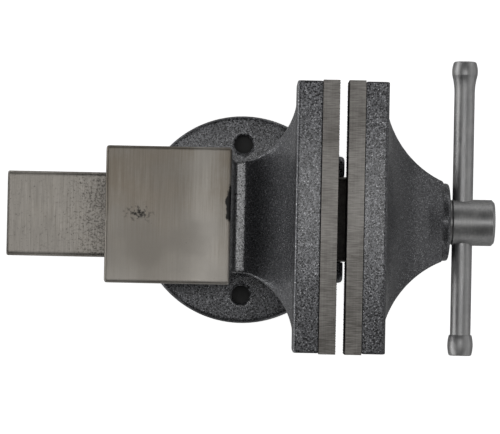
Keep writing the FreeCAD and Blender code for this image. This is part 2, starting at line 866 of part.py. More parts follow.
doc.recompute()
for item in doc.Objects:
    if "Invalid" in item.State or "Error" in item.State:
        raise ValueError(f"{item.Label} is in state {item.State}")

os.makedirs("parts", exist_ok=True)
for part in parts:
    shape = part.Shape
    if shape.isNull() or not shape.isValid() or len(shape.Solids) != 1:
        raise ValueError(f"{part.Label} isn't one valid solid")
    shape.exportStep(f"parts/{part.Label}.step")
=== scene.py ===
"""The looks of a bench vise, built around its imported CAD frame. Blender 4.5.

Lengths are in metres. Places on the vise are worked out from the CAD nodes' boxes and faces.
x runs along the screw towards the handle, and y across the jaws.
The castings are remeshed copies of the CAD nodes with soft, cast corners. The jaw plates are rebuilt
with cut teeth. The other pieces are the CAD nodes themselves, with better materials.
"""

import math

import bmesh
import bpy
import numpy as np
from mathutils import Matrix, Vector

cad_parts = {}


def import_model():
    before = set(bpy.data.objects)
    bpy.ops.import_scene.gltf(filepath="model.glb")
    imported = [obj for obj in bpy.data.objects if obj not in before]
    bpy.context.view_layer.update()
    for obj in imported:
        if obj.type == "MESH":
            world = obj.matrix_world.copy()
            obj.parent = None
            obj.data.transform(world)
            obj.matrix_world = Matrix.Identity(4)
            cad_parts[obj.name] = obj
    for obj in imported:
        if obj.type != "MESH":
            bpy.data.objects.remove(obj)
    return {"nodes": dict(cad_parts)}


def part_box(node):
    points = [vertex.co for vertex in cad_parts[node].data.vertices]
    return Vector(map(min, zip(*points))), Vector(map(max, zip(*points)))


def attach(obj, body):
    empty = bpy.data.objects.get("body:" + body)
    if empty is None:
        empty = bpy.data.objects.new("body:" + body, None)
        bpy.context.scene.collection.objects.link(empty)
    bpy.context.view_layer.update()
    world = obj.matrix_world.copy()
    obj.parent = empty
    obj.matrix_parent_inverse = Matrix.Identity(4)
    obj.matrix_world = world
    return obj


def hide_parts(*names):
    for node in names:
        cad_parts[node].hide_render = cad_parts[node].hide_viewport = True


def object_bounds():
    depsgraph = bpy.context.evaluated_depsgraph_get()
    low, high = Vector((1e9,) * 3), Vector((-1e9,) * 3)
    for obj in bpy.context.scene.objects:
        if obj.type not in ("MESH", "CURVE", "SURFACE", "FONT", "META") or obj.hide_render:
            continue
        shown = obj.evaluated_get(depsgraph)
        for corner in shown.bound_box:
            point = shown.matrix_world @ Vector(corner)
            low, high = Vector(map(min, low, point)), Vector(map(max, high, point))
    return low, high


MM = 0.001

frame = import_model()
NODES = frame["nodes"]
CAD_LOW, CAD_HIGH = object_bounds()


# ---------------------------------------------------------------- places from the frame


def node_box(name):
    """The node's lowest and highest corners as two arrays."""
    low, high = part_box(name)
    return np.array(low), np.array(high)


def vertices(name):
    """A node's vertices as an array."""
    mesh = NODES[name].data
    flat = np.zeros(len(mesh.vertices) * 3)
    mesh.vertices.foreach_get("co", flat)
    return flat.reshape(-1, 3)


def polygon_facts(mesh):
    """Centres and normals of a mesh's polygons as arrays."""
    count = len(mesh.polygons)
    centres, normals = np.zeros(count * 3), np.zeros(count * 3)
    mesh.polygons.foreach_get("center", centres)
    mesh.polygons.foreach_get("normal", normals)
    return centres.reshape(-1, 3), normals.reshape(-1, 3)


def highest_level_face(name, wanted):
    """Height of the node's highest level face, among those where wanted(x) is true."""
    centres, normals = polygon_facts(NODES[name].data)
    level = normals[:, 2] > 0.999
    return centres[level & wanted(centres[:, 0]), 2].max()


JAW_TOP = node_box("body_casting")[1][2]
SLIDE_LOW, SLIDE_HIGH = node_box("moving_jaw_casting")
STATIC_PLATE = node_box("static_jaw_plate")
MOVING_PLATE = node_box("moving_jaw_plate")

# Behind this x the anvil is the highest part of the body.
BEHIND_JAW = -40 * MM
BODY_POINTS = vertices("body_casting")
ANVIL_TOP = BODY_POINTS[BODY_POINTS[:, 0] < BEHIND_JAW, 2].max()
ANVIL_RIM = BODY_POINTS[np.abs(BODY_POINTS[:, 2] - ANVIL_TOP) < 0.01 * MM, 0]
ANVIL_REAR, ANVIL_FRONT = ANVIL_RIM.min(), ANVIL_RIM.max()

# Of the sliding casting, only the beam reaches behind x = 0. It meets the jaw at about BEAM_FRONT.
SLIDE_POINTS = vertices("moving_jaw_casting")
BEAM_POINTS = SLIDE_POINTS[SLIDE_POINTS[:, 0] < 0]
BEAM_HALF = BEAM_POINTS[:, 1].max()
BEAM_LOW, BEAM_TOP = BEAM_POINTS[:, 2].min(), BEAM_POINTS[:, 2].max()
BEAM_FRONT = SLIDE_LOW[0] + 196 * MM

# The valley lies between the anvil and the static jaw, and a cap is the broad top of a jaw.
# In front of the static plate, the body's highest level face is the top of the base flange.
VALLEY_X = ANVIL_FRONT + 5 * MM
VALLEY_Z = highest_level_face("body_casting", lambda x: np.abs(x - VALLEY_X) < 3 * MM)
CAP_REAR = STATIC_PLATE[0][0] - 14 * MM
CAP_FRONT = MOVING_PLATE[1][0] + 13 * MM
FLANGE_X = STATIC_PLATE[1][0] + 0.5 * MM
FLANGE_Z = highest_level_face("body_casting", lambda x: x > FLANGE_X)


# ---------------------------------------------------------------- shader helpers


class Shader:
    """A small wrapper that makes and links shader nodes in one call."""

    def __init__(self, name):
        self.material = bpy.data.materials.new(name)
        self.material.use_nodes = True
        self.tree = self.material.node_tree
        self.tree.nodes.clear()
        self.output = self.tree.nodes.new("ShaderNodeOutputMaterial")
        self.surface = self.tree.nodes.new("ShaderNodeBsdfPrincipled")
        self.tree.links.new(self.surface.outputs[0], self.output.inputs["Surface"])
        self.coords = self.tree.nodes.new("ShaderNodeTexCoord").outputs["Object"]

    def put(self, socket, value):
        """Sets an input from a number, a colour or another node's output."""
        if isinstance(value, bpy.types.NodeSocket):
            self.tree.links.new(value, socket)
        elif socket.type == "RGBA":
            socket.default_value = (*value, 1.0)
        else:
            socket.default_value = value

    def set(self, **inputs):
        """Sets inputs of the surface shader. Underscores stand for spaces."""
        for name, value in inputs.items():
            self.put(self.surface.inputs[name.replace("_", " ")], value)

    def math(self, operation, a, b=0.0):
        """One operation on two values. ABSOLUTE uses only the first."""
        node = self.tree.nodes.new("ShaderNodeMath")
        node.operation = operation
        for socket, value in zip(node.inputs, (a, b)):
            self.put(socket, value)
        return node.outputs[0]

    def plus(self, a, b):
        return self.math("ADD", a, b)

    def minus(self, a, b):
        return self.math("SUBTRACT", a, b)

    def times(self, a, b):
        return self.math("MULTIPLY", a, b)

    def larger(self, a, b):
        return self.math("MAXIMUM", a, b)

    def ramp(self, value, low, high, out_low=0.0, out_high=1.0):
        """Maps value from low..high to out_low..out_high, with soft ends."""
        node = self.tree.nodes.new("ShaderNodeMapRange")
        node.interpolation_type = "SMOOTHSTEP"
        for socket, number in zip(node.inputs, (value, low, high, out_low, out_high)):
            self.put(socket, number)
        return node.outputs[0]

    def scaled(self, x, y, z):
        """Coordinates stretched along each axis."""
        node = self.tree.nodes.new("ShaderNodeMapping")
        self.put(node.inputs["Vector"], self.coords)
        node.inputs["Scale"].default_value = (x, y, z)
        return node.outputs[0]

    def noise(self, scale, coords=None, detail=4.0, roughness=0.55):
        """Cloudy noise with about scale lumps to the metre."""
        node = self.tree.nodes.new("ShaderNodeTexNoise")
        self.put(node.inputs["Vector"], coords or self.coords)
        node.inputs["Scale"].default_value = scale
        node.inputs["Detail"].default_value = detail
        node.inputs["Roughness"].default_value = roughness
        return node.outputs[0]

    def fine_lines(self, along, length, width):
        """Noise drawn out along x or y, about length by width in size."""
        stretch = (1 / length, 1 / width, 1 / width) if along == "x" else (1 / width, 1 / length, 1 / width)
        return self.noise(1.0, self.scaled(*stretch), detail=4, roughness=0.65)

    def cells(self, scale, smoothness):
        """Distance to the nearest of scattered points, about scale of them to the metre."""
        node = self.tree.nodes.new("ShaderNodeTexVoronoi")
        node.feature = "SMOOTH_F1"
        self.put(node.inputs["Vector"], self.coords)
        node.inputs["Scale"].default_value = scale
        node.inputs["Smoothness"].default_value = smoothness
        return node.outputs["Distance"]

    def mix(self, factor, a, b):
        """Mixes two colours."""
        node = self.tree.nodes.new("ShaderNodeMix")
        node.data_type = "RGBA"
        self.put(node.inputs["Factor"], factor)
        self.put(node.inputs[6], a)
        self.put(node.inputs[7], b)
        return node.outputs[2]

    def bump(self, height, strength, distance):
        """A normal that follows a height."""
        node = self.tree.nodes.new("ShaderNodeBump")
        self.put(node.inputs["Strength"], strength)
        node.inputs["Distance"].default_value = distance
        self.put(node.inputs["Height"], height)
        return node.outputs[0]

    def axis(self, name):
        """One coordinate of the point."""
        node = self.tree.nodes.new("ShaderNodeSeparateXYZ")
        self.put(node.inputs[0], self.coords)
        return node.outputs[name]

    def near(self, axis, place, reach):
        """1 at a place along an axis, falling to 0 at reach from it."""
        gap = self.math("ABSOLUTE", self.minus(self.axis(axis), place))
        return self.ramp(gap, 0, reach, 1, 0)

    def facing(self, name):
        """One component of the surface's true normal."""
        node = self.tree.nodes.new("ShaderNodeNewGeometry")
        parts = self.tree.nodes.new("ShaderNodeSeparateXYZ")
        self.tree.links.new(node.outputs["True Normal"], parts.inputs[0])
        return parts.outputs[name]


# ---------------------------------------------------------------- materials

# Painted shade in the enamel's pits.
PAINT_PIT_SHADE = (0.007, 0.007, 0.008)
PAINT_RIDGE = (0.160, 0.162, 0.172)
# Metal flakes of the enamel, painted bright as glints.
PAINT_FLAKE_GLINT = (0.640, 0.645, 0.665)
PAINT_SMEAR = (0.070, 0.071, 0.076)
# Painted light: a highlight on the valley floor and a paler patch on the flange.
PAINTED_LIGHT_PALE = (0.420, 0.422, 0.425)
ANVIL_DARK = (0.185, 0.160, 0.128)
ANVIL_PALE = (0.430, 0.405, 0.368)
ANVIL_BROWN = (0.215, 0.188, 0.155)
ANVIL_STAIN = (0.025, 0.024, 0.023)
BEAM_DARK = (0.270, 0.250, 0.222)
BEAM_PALE = (0.570, 0.535, 0.488)
BEAM_STAIN = (0.075, 0.068, 0.060)
# Painted shade on the beam under the fixed casting and between the jaws.
BEAM_PAINTED_SHADE = (0.038, 0.036, 0.033)
PLATE_DARK = (0.075, 0.070, 0.064)
PLATE_PALE = (0.285, 0.273, 0.256)
PLATE_SPECK = (0.060, 0.050, 0.042)
TURNED_DARK = (0.370, 0.370, 0.372)
TURNED_PALE = (0.560, 0.558, 0.552)
STEEL_DARK = (0.025, 0.025, 0.027)
STEEL_PALE = (0.060, 0.060, 0.062)
IRON_DARK = (0.120, 0.115, 0.110)
IRON_PALE = (0.240, 0.235, 0.225)


def hammered_paint():
    """Dark grey hammered enamel: fine bright crumbs about a millimetre apart round small dark pits. The pits'
    dark is painted shade, and the brightest flecks on the crumbs are painted glints.

    It is smoother on sloping surfaces and past the moving jaw's cap. A painted reflection makes it paler on
    the swoop up to the static jaw, painted shade makes it darker towards -y, and painted light makes it paler
    in the valley, as a highlight along its floor, and on the flange in front of the static plate.
    """
    s = Shader("hammered_paint")
    grain = s.noise(1050, detail=2, roughness=0.65)
    pits = s.cells(880, smoothness=0.25)
    wander = s.noise(330, detail=2)
    mottle = s.noise(45, detail=3)
    height = s.plus(s.times(pits, 0.55), s.times(grain, 0.75))
    height = s.plus(height, s.times(wander, 0.25))

    level = s.math("ABSOLUTE", s.facing("Z"))
    sloping = s.times(s.ramp(level, 0.98, 0.92), s.ramp(level, 0.15, 0.4))
    smoother = s.larger(sloping, s.ramp(s.axis("X"), CAP_FRONT, CAP_FRONT + 6 * MM))
    # Painted reflection: paler up the swoop to the static jaw's cap.
    swoop = s.times(s.ramp(s.axis("X"), CAP_REAR - 24 * MM, CAP_REAR - 8 * MM, 0.0, 0.85), sloping)
    swoop = s.times(swoop, s.ramp(s.axis("X"), CAP_REAR + 3 * MM, CAP_REAR + 1 * MM))
    ridge = s.ramp(height, 0.56, 0.90)
    ridge = s.plus(ridge, s.times(smoother, s.minus(0.34, s.times(ridge, 0.62))))
    ridge = s.plus(ridge, swoop)
    # Painted shade: darker towards -y.
    ridge = s.times(ridge, s.ramp(s.axis("Y"), -20 * MM, -68 * MM, 1.0, 0.68))

    # The dark of the pits is painted shade.
    colour = s.mix(ridge, PAINT_PIT_SHADE, PAINT_RIDGE)
    # Bright flecks on the crumbs: painted glints of the metal flakes.
    flake_glint = s.ramp(s.noise(1700, detail=1), 0.58, 0.70)
    colour = s.mix(s.times(flake_glint, ridge), colour, PAINT_FLAKE_GLINT)
    colour = s.mix(s.ramp(mottle, 0.4, 0.75, 0.0, 0.25), colour, PAINT_SMEAR)
    # Painted highlight along the flat floor of the valley, flecked by the grain.
    valley_painted_highlight = s.times(s.near("X", VALLEY_X, 5 * MM), s.near("Z", VALLEY_Z, 4 * MM))
    valley_painted_highlight = s.times(valley_painted_highlight, s.ramp(grain, 0.35, 0.6))
    colour = s.mix(valley_painted_highlight, colour, PAINTED_LIGHT_PALE)
    # Painted light: paler on the flange in front of the static plate.
    flange = s.times(s.near("Z", FLANGE_Z, 3 * MM), s.ramp(s.axis("X"), FLANGE_X - 1 * MM, FLANGE_X))
    colour = s.mix(flange, colour, PAINTED_LIGHT_PALE)
    s.set(
        Base_Color=colour,
        Metallic=0.6,
        Roughness=s.ramp(grain, 0.3, 0.7, 0.24, 0.36),
        Coat_Weight=0.35,
        Coat_Roughness=0.12,
        Normal=s.bump(height, s.minus(1.0, s.times(smoother, 0.55)), 0.22 * MM),
    )
    return s.material


def ground_anvil():
    """Ground top of the anvil: warm grey and cloudy, paler towards -y and near its front edge.

    That edge is chipped, and a patch near the rear is pocked.
    """
    s = Shader("ground_anvil")
    cloud = s.noise(26, detail=5, roughness=0.6)
    warm = s.noise(14, detail=2)
    lines = s.fine_lines("y", 26 * MM, 0.7 * MM)
    tone = s.plus(s.times(cloud, 0.7), s.times(lines, 0.3))
    pale = s.near("X", ANVIL_FRONT - 15 * MM, 14 * MM)
    tone = s.plus(tone, s.times(pale, 0.12))
    tone = s.plus(tone, s.ramp(s.axis("Y"), 30 * MM, -38 * MM, 0.0, 0.18))
    colour = s.mix(s.ramp(tone, 0.36, 0.76), ANVIL_DARK, ANVIL_PALE)
    colour = s.mix(s.ramp(warm, 0.4, 0.65, 0.0, 0.5), colour, ANVIL_BROWN)

    patch = s.times(s.near("X", ANVIL_REAR + 18 * MM, 13 * MM), s.near("Y", 1 * MM, 8 * MM))
    pocks = s.ramp(s.plus(s.noise(520, detail=4), s.times(patch, 0.12)), 0.56, 0.72)
    stray = s.times(s.ramp(s.noise(500, detail=2), 0.72, 0.8), 0.4)
    dark = s.larger(s.times(pocks, patch), stray)
    edge = s.times(s.near("X", ANVIL_FRONT, 5 * MM), s.near("Y", 6 * MM, 24 * MM))
    worn = s.ramp(s.plus(edge, s.times(s.noise(240, detail=4), 0.9)), 0.95, 1.15)
    dark = s.larger(dark, worn)
    colour = s.mix(dark, colour, ANVIL_STAIN)
    s.set(
        Base_Color=colour,
        Metallic=0.9,
        Roughness=s.ramp(cloud, 0.3, 0.7, 0.36, 0.46),
        Normal=s.bump(s.minus(s.times(lines, 0.4), dark), 0.3, 0.08 * MM),
    )
    return s.material


def ground_beam():
    """The sliding beam: pale bare iron, stained towards the fixed casting, and near black where that covers
    it and between the jaws: painted shade.
    """
    s = Shader("ground_beam")
    cloud = s.noise(40, detail=5, roughness=0.65)
    lines = s.fine_lines("y", 20 * MM, 0.6 * MM)
    tone = s.plus(s.times(cloud, 0.6), s.times(lines, 0.4))
    colour = s.mix(s.ramp(tone, 0.35, 0.72), BEAM_DARK, BEAM_PALE)
    approach = s.ramp(s.axis("X"), ANVIL_REAR - 34 * MM, ANVIL_REAR + 2 * MM)
    specks = s.plus(s.noise(900, detail=4, roughness=0.7), s.times(approach, 0.14))
    specks = s.ramp(specks, 0.56, 0.74, 0.0, 0.75)
    colour = s.mix(specks, colour, BEAM_STAIN)
    # Painted shade: near black where the fixed casting covers the beam and between the jaws.
    painted_beam_shade = s.ramp(s.axis("X"), ANVIL_REAR + 4 * MM, ANVIL_REAR + 24 * MM)
    colour = s.mix(s.times(painted_beam_shade, s.ramp(cloud, 0.25, 0.7, 1.0, 0.8)), colour, BEAM_PAINTED_SHADE)
    s.set(
        Base_Color=colour,
        Metallic=0.88,
        Roughness=s.ramp(cloud, 0.3, 0.7, 0.34, 0.46),
        Normal=s.bump(s.plus(lines, s.times(specks, 0.5)), 0.3, 0.06 * MM),
    )
    return s.material


def ground_plate():
    """Hardened jaw plate: long grinding lines, crossed by short ones, with small rust specks, and painted
    shade a little darker towards -y.
    """
    s = Shader("ground_plate")
    long_lines = s.fine_lines("y", 60 * MM, 0.9 * MM)
    short_lines = s.fine_lines("x", 7 * MM, 0.45 * MM)
    cloud = s.noise(34, detail=4, roughness=0.6)
    tone = s.plus(s.times(long_lines, 0.12), s.times(short_lines, 0.5))
    tone = s.plus(tone, s.times(cloud, 0.38))
    # Painted shade: a little darker towards -y.
    tone = s.plus(tone, s.ramp(s.axis("Y"), -10 * MM, -75 * MM, 0.0, -0.05))
    colour = s.mix(s.ramp(tone, 0.36, 0.68), PLATE_DARK, PLATE_PALE)
    specks = s.ramp(s.noise(650, detail=3), 0.66, 0.74, 0.0, 0.6)
    colour = s.mix(specks, colour, PLATE_SPECK)
    s.set(
        Base_Color=colour,
        Metallic=0.9,
        Roughness=s.ramp(tone, 0.3, 0.7, 0.28, 0.38),
        Normal=s.bump(tone, 0.35, 0.06 * MM),
    )
    return s.material


def turned_steel():
    """Satin bar steel with faint rings round x and light scratches along y."""
    s = Shader("turned_steel")
    cloud = s.noise(90, detail=5, roughness=0.65)
    rings = s.noise(1.0, s.scaled(1800, 60, 60), detail=2)
    scratch = s.noise(1.0, s.scaled(900, 50, 900), detail=3)
    value = s.plus(s.times(cloud, 0.55), s.times(scratch, 0.45))
    s.set(
        Base_Color=s.mix(s.ramp(value, 0.35, 0.7), TURNED_DARK, TURNED_PALE),
        Metallic=1.0,
        Roughness=s.ramp(cloud, 0.3, 0.7, 0.38, 0.48),
        Normal=s.bump(s.plus(rings, scratch), 0.12, 0.05 * MM),
    )
    return s.material


def dark_steel():
    """Dark steel of the plate screws, the bolts and the spring."""
    s = Shader("dark_steel")
    cloud = s.noise(300, detail=4)
    s.set(
        Base_Color=s.mix(s.ramp(cloud, 0.35, 0.7), STEEL_DARK, STEEL_PALE),
        Metallic=0.8,
        Roughness=s.ramp(cloud, 0.3, 0.7, 0.35, 0.5),
        Normal=s.bump(cloud, 0.1, 0.1 * MM),
    )
    return s.material


def bare_iron():
    """Bare cast iron of the nut."""
    s = Shader("bare_iron")
    cloud = s.noise(160, detail=5)
    s.set(
        Base_Color=s.mix(s.ramp(cloud, 0.3, 0.7), IRON_DARK, IRON_PALE),
        Metallic=0.85,
        Roughness=s.ramp(cloud, 0.3, 0.7, 0.38, 0.55),
        Normal=s.bump(cloud, 0.15, 0.1 * MM),
    )
    return s.material


PAINT = hammered_paint()
ANVIL = ground_anvil()
BEAM = ground_beam()
PLATE = ground_plate()

NODE_MATERIALS = (
    (turned_steel(), ("lead_screw", "thrust_washer", "retaining_washer", "split_pin", "handle_bar",
                      "handle_cap", "nut_washer_front", "nut_washer_rear")),
    (dark_steel(), ("static_plate_screw_left", "static_plate_screw_right", "moving_plate_screw_left",
                    "moving_plate_screw_right", "retaining_spring", "nut_bolt_front", "nut_bolt_rear")),
    (bare_iron(), ("lead_nut",)),
)
for material, names in NODE_MATERIALS:
    for name in names:
        NODES[name].data.materials.clear()
        NODES[name].data.materials.append(material)


# ---------------------------------------------------------------- castings

VOXEL = 0.8 * MM
PASSES = 10
WELD = 0.002 * MM
SHRINK, SWELL = 0.6, -0.5
SHARP_ANGLE = math.radians(40)


def remeshed(node, name):
    """A copy of a CAD node as one even mesh."""
    mesh = NODES[node].data.copy()
    work = bpy.data.objects.new(name + "_work", mesh)
    bpy.context.scene.collection.objects.link(work)
    solid = bmesh.new()
    solid.from_mesh(mesh)
    bmesh.ops.remove_doubles(solid, verts=solid.verts, dist=WELD)
    solid.to_mesh(mesh)
    solid.free()
    modifier = work.modifiers.new("voxels", "REMESH")
    modifier.mode = "VOXEL"
    modifier.voxel_size = VOXEL
    evaluated = work.evaluated_get(bpy.context.evaluated_depsgraph_get())
    made = bpy.data.meshes.new_from_object(evaluated)
    bpy.data.objects.remove(work)
    made.name = name
    made.materials.clear()
    return made


def relax(mesh, weights, passes):
    """Evens out the surface where weights are high, by shrinking and swelling it in turn."""
    count = len(mesh.vertices)
    points = np.zeros(count * 3)
    mesh.vertices.foreach_get("co", points)
    points = points.reshape(-1, 3)
    edges = np.zeros(len(mesh.edges) * 2, np.int32)
    mesh.edges.foreach_get("vertices", edges)
    edges = edges.reshape(-1, 2)
    valence = np.bincount(edges.ravel(), minlength=count).clip(1)
    weight = weights(points)[:, None]
    for step in range(2 * passes):
        share = weight * (SHRINK if step % 2 == 0 else SWELL)
        total = np.stack(
            [
                np.bincount(edges[:, 0], points[edges[:, 1], k], count)
                + np.bincount(edges[:, 1], points[edges[:, 0], k], count)
                for k in range(3)
            ],
            axis=1,
        )
        points += share * (total / valence[:, None] - points)
    mesh.vertices.foreach_set("co", points.ravel())
    mesh.update()


def away_from(distance, soft):
    """0 on a kept surface, rising to 1 at soft away from it."""
    return np.clip(np.abs(distance) / soft, 0, 1)


def fixed_weights(p):
    """How far the fixed casting is relaxed: little on the anvil and in the valley before it.

    Its slide way and its underside are left as they are.
    """
    on_anvil = (p[:, 0] < ANVIL_FRONT + 4 * MM) & (p[:, 2] > ANVIL_TOP - 3 * MM)
    in_valley = (np.abs(p[:, 0] - ANVIL_FRONT - 4 * MM) < 8 * MM) & (p[:, 2] < ANVIL_TOP)
    weight = np.where(on_anvil | in_valley & (p[:, 2] > BEAM_TOP + 8 * MM), 0.12, 1.0)
    weight = np.minimum(weight, away_from(p[:, 2], 2 * MM))
    inside = (np.abs(p[:, 1]) < BEAM_HALF + 1.5 * MM) & (p[:, 2] < BEAM_TOP + 1.5 * MM)
    inside &= p[:, 2] > SLIDE_LOW[2] + 6 * MM
    return np.where(inside, 0.0, weight)


def sliding_weights(p):
    """How far the sliding casting is relaxed: little on its beam, and half on the face of its boss."""
    on_beam = (p[:, 0] < BEAM_FRONT) & (p[:, 2] < BEAM_TOP + 1 * MM)
    on_boss = p[:, 0] > SLIDE_HIGH[0] - 7 * MM
    return np.where(on_beam, 0.15, np.where(on_boss, 0.5, 1.0))


def ease_beam(mesh):
    """Chamfers the lower edges of the beam, so that they clear the corners of the slide way."""
    size = 2 * VOXEL
    for vertex in mesh.vertices:
        x, y, z = vertex.co
        inwards = abs(y) - (BEAM_HALF - size)
        upwards = BEAM_LOW + size - z
        over = (inwards + upwards - size) / 2
        if x < BEAM_FRONT + 4 * MM and min(inwards, upwards, over) > 0:
            vertex.co = (x, y - math.copysign(over, y), z + over)


def casting(node, name, body, weights, machined, bare):
    """A cast copy of a CAD node. Polygons whose centres machined picks are bare metal."""
    mesh = remeshed(node, name)
    relax(mesh, weights, PASSES)
    mesh.materials.append(PAINT)
    mesh.materials.append(bare)
    bare_faces = machined(polygon_facts(mesh)[0])
    mesh.polygons.foreach_set("material_index", bare_faces.astype(np.int32))
    mesh.polygons.foreach_set("use_smooth", [True] * len(mesh.polygons))
    mesh.set_sharp_from_angle(angle=SHARP_ANGLE)
    obj = bpy.data.objects.new(name, mesh)
    bpy.context.scene.collection.objects.link(obj)
    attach(obj, body)
    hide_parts(node)
    return obj


def on_anvil_top(centres):
    return (centres[:, 2] > ANVIL_TOP - 0.9 * MM) & (centres[:, 0] < ANVIL_FRONT + 1 * MM)


def on_ground_beam(centres):
    return (centres[:, 2] < BEAM_TOP + 0.5 * MM) & (centres[:, 0] < MOVING_PLATE[1][0] - 0.8 * MM)


casting("body_casting", "fixed_casting", "fixed_body", fixed_weights, on_anvil_top, ANVIL)
sliding = casting("moving_jaw_casting", "sliding_casting", "moving_jaw", sliding_weights,
                  on_ground_beam, BEAM)
ease_beam(sliding.data)


# ---------------------------------------------------------------- jaw plates

TOOTH_PITCH = 2.0 * MM
TOOTH_DEPTH = 0.55 * MM
TIP_GAP = 0.02 * MM  # how far the tips stay behind the CAD face
STEPS_PER_TOOTH = 8
COUNTERBORE_RADIUS = 6.9 * MM
COUNTERBORE_DEPTH = 5.05 * MM
CUTTER_REACH = 4 * MM


def tooth_depth(y, z):
    """Depth below the working face of crossed V grooves, which leave small pyramids."""
    grooves = []
    for along in (y + z, y - z):
        turn = along / (TOOTH_PITCH * math.sqrt(2))
        grooves.append(np.abs(2 * (turn - np.floor(turn)) - 1))
    return TOOTH_DEPTH * np.maximum(*grooves)


def toothed_block(low, high, out):
    """A closed block whose face on the out side is cut with teeth."""
    step = TOOTH_PITCH * math.sqrt(2) / STEPS_PER_TOOTH
    across = np.linspace(low[1], high[1], int(round((high[1] - low[1]) / step)) + 1)
    up = np.linspace(low[2], high[2], int(round((high[2] - low[2]) / step)) + 1)
    face, seat = (high[0], low[0]) if out > 0 else (low[0], high[0])
    grid_y, grid_z = np.meshgrid(across, up, indexing="ij")
    face_x = face - out * (tooth_depth(grid_y, grid_z) + TIP_GAP)
    count = grid_y.size
    front = np.stack([face_x.ravel(), grid_y.ravel(), grid_z.ravel()], axis=1)
    rows, columns = grid_y.shape
    index = np.arange(count).reshape(rows, columns)
    quads = np.stack([index[:-1, :-1], index[1:, :-1], index[1:, 1:], index[:-1, 1:]], axis=-1).reshape(-1, 4)
    rim = np.concatenate([index[:, 0], index[-1, 1:], index[-2::-1, -1], index[0, -2:0:-1]])
    back = front[rim].copy()
    back[:, 0] = seat
    points = np.concatenate([front, back])
    behind = np.arange(len(rim)) + count
    turned_rim, turned_behind = np.roll(rim, -1), np.roll(behind, -1)
    walls = np.stack([rim, behind, turned_behind, turned_rim], axis=1)
    faces = quads.tolist() + walls.tolist() + [behind[::-1].tolist()]
    mesh = bpy.data.meshes.new("toothed_block")
    mesh.from_pydata(points.tolist(), [], faces)
    block = bmesh.new()
    block.from_mesh(mesh)
    bmesh.ops.recalc_face_normals(block, faces=block.faces)
    block.to_mesh(mesh)
    block.free()
    return mesh


def counterbored(obj, screws, out):
    """Bores the block for its screws' heads. The bore's floor is measured from the head's outer face."""
    cutter = bmesh.new()
    for screw in screws:
        low, high = node_box(screw)
        middle = (low + high) / 2
        head = high[0] if out > 0 else low[0]
        floor_x = head - out * COUNTERBORE_DEPTH
        end_x = head + out * CUTTER_REACH
        turn = Matrix.Rotation(math.radians(90), 4, "Y")
        place = Matrix.Translation(((floor_x + end_x) / 2, middle[1], middle[2])) @ turn
        bmesh.ops.create_cone(cutter, cap_ends=True, segments=64, radius1=COUNTERBORE_RADIUS,
                              radius2=COUNTERBORE_RADIUS, depth=abs(end_x - floor_x), matrix=place)
    mesh = bpy.data.meshes.new("cutter")
    cutter.to_mesh(mesh)
    cutter.free()
    tool = bpy.data.objects.new("cutter", mesh)
    bpy.context.scene.collection.objects.link(tool)
    modifier = obj.modifiers.new("bores", "BOOLEAN")
    modifier.operation = "DIFFERENCE"
    modifier.solver = "EXACT"
    modifier.object = tool
    evaluated = obj.evaluated_get(bpy.context.evaluated_depsgraph_get())
    made = bpy.data.meshes.new_from_object(evaluated)
    obj.modifiers.clear()
    obj.data = made
    bpy.data.objects.remove(tool)


def jaw_plate(jaw, body, out):
    """One toothed plate in the place of its CAD node. Its working face looks along x times out."""
    node = f"{jaw}_jaw_plate"
    low, high = node_box(node)
    obj = bpy.data.objects.new(f"{jaw}_toothed_plate", toothed_block(low, high, out))
    bpy.context.scene.collection.objects.link(obj)
    counterbored(obj, (f"{jaw}_plate_screw_left", f"{jaw}_plate_screw_right"), out)
    obj.data.materials.clear()
    obj.data.materials.append(PLATE)
    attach(obj, body)
    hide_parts(node)


jaw_plate("static", "fixed_body", 1)
jaw_plate("moving", "moving_jaw", -1)


# ---------------------------------------------------------------- floor, light and camera

STAGE_GREY = 0.8
FLOOR_GLOW = 0.88
ROOM_DARK = 0.05
ROOM_RIGHT = 0.48
ROOM_LEFT = 2.1
ROOM_BACK = 0.9
ROOM_NEAR = 0.6
FLOOR_REACH = 3.0
FLOOR_GAP = 0.02 * MM
SHADE_DISC_GAP = 0.01 * MM
SHADE_DISC_RADIUS = 60 * MM
SHADE_DISC_GREY = 0.16
PANEL_PLACE = (0.0, 0.045, 1.62)
PANEL_AIM = (0.0, 0.045, 0.1)
PANEL_LENGTH, PANEL_WIDTH = 1.2, 0.14
PANEL_POWER = 2.75


def floor():
    """A pale floor. To the camera it also glows, which adds no light to the vise."""
    size = FLOOR_REACH
    mesh = bpy.data.meshes.new("floor")
    corners = [(-size, -size, 0), (size, -size, 0), (size, size, 0), (-size, size, 0)]
    mesh.from_pydata(corners, [], [(0, 1, 2, 3)])
    obj = bpy.data.objects.new("floor", mesh)
    obj.location.z = CAD_LOW[2] - FLOOR_GAP
    bpy.context.scene.collection.objects.link(obj)
    s = Shader("floor_white")
    s.set(Base_Color=(STAGE_GREY, STAGE_GREY, STAGE_GREY), Roughness=0.8)
    s.surface.inputs["Specular IOR Level"].default_value = 0.1
    lit = s.tree.nodes.new("ShaderNodeEmission")
    lit.inputs["Strength"].default_value = FLOOR_GLOW
    path = s.tree.nodes.new("ShaderNodeLightPath")
    nothing = s.tree.nodes.new("ShaderNodeEmission")
    nothing.inputs["Strength"].default_value = 0
    seen = s.tree.nodes.new("ShaderNodeMixShader")
    s.put(seen.inputs[0], path.outputs["Is Camera Ray"])
    s.put(seen.inputs[1], nothing.outputs[0])
    s.put(seen.inputs[2], lit.outputs[0])
    both = s.tree.nodes.new("ShaderNodeAddShader")
    s.put(both.inputs[0], s.surface.outputs[0])
    s.put(both.inputs[1], seen.outputs[0])
    s.put(s.output.inputs["Surface"], both.outputs[0])
    mesh.materials.append(s.material)


